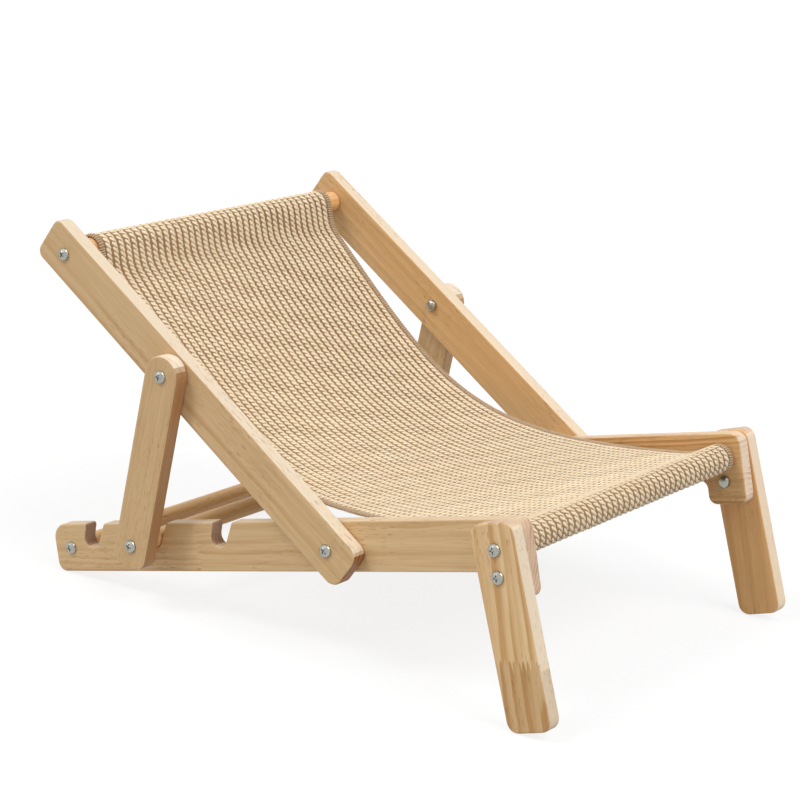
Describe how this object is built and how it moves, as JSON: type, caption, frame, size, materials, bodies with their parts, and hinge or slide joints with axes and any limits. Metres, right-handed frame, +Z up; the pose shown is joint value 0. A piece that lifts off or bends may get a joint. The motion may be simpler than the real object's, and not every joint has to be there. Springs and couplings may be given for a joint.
{
  "type": "cat lounge chair",
  "caption": "Deck-chair shaped pet lounger: notched pine rails on front legs, hinged backrest held by a swinging prop frame, and a woven sisal sling hung between two dowels",
  "frame": {"origin": "on the floor, under the middle of the bounding box", "axes": "+X to the front, where the legs are; +Y to the far side; +Z up"},
  "size_m": [0.567, 0.4434, 0.327],
  "materials": {
    "pine": "clear satin lacquer over pale pine",
    "zinc": "bright zinc plating",
    "sisal": "coarse ribbed sisal weave, matt"
  },
  "bodies": {
    "base": {"front_dowel": "pine", "rear_crossbar": "pine", "sling_seat": "sisal", "sling_fold": "sisal", "near_rail": "pine", "near_front_leg": "pine", "near_leg_screw": "zinc", "near_leg_bolt": "zinc", "near_leg_nut": "zinc", "near_crossbar_screw": "zinc", "far_rail": "pine", "far_front_leg": "pine", "far_leg_screw": "zinc", "far_leg_bolt": "zinc", "far_leg_nut": "zinc", "far_crossbar_screw": "zinc"},
    "backrest": {"top_dowel": "pine", "sling_back": "sisal", "near_back_board": "pine", "near_top_screw": "zinc", "near_pivot_bolt": "zinc", "near_pivot_nut": "zinc", "far_back_board": "pine", "far_top_screw": "zinc", "far_pivot_bolt": "zinc", "far_pivot_nut": "zinc"},
    "prop_frame": {"prop_dowel": "pine", "near_prop": "pine", "near_prop_screw": "zinc", "near_prop_bolt": "zinc", "near_prop_nut": "zinc", "far_prop": "pine", "far_prop_screw": "zinc", "far_prop_bolt": "zinc", "far_prop_nut": "zinc"}
  },
  "joints": [
    {"name": "backrest_recline", "type": "hinge", "parent": "base", "child": "backrest", "pos_m": [0.05201, 0, 0.10304], "axis": [0, 1, 0], "range_deg": [0, 45], "deforming": ["sling_fold"]},
    {"name": "prop_swing", "type": "hinge", "parent": "backrest", "child": "prop_frame", "pos_m": [-0.12382, 0, 0.21787], "axis": [0, 1, 0], "range_deg": [-22.5, 0]}
  ],
  "couplings": [
    {"joint": "prop_swing", "follows": "backrest_recline", "ratio": -0.5}
  ]
}
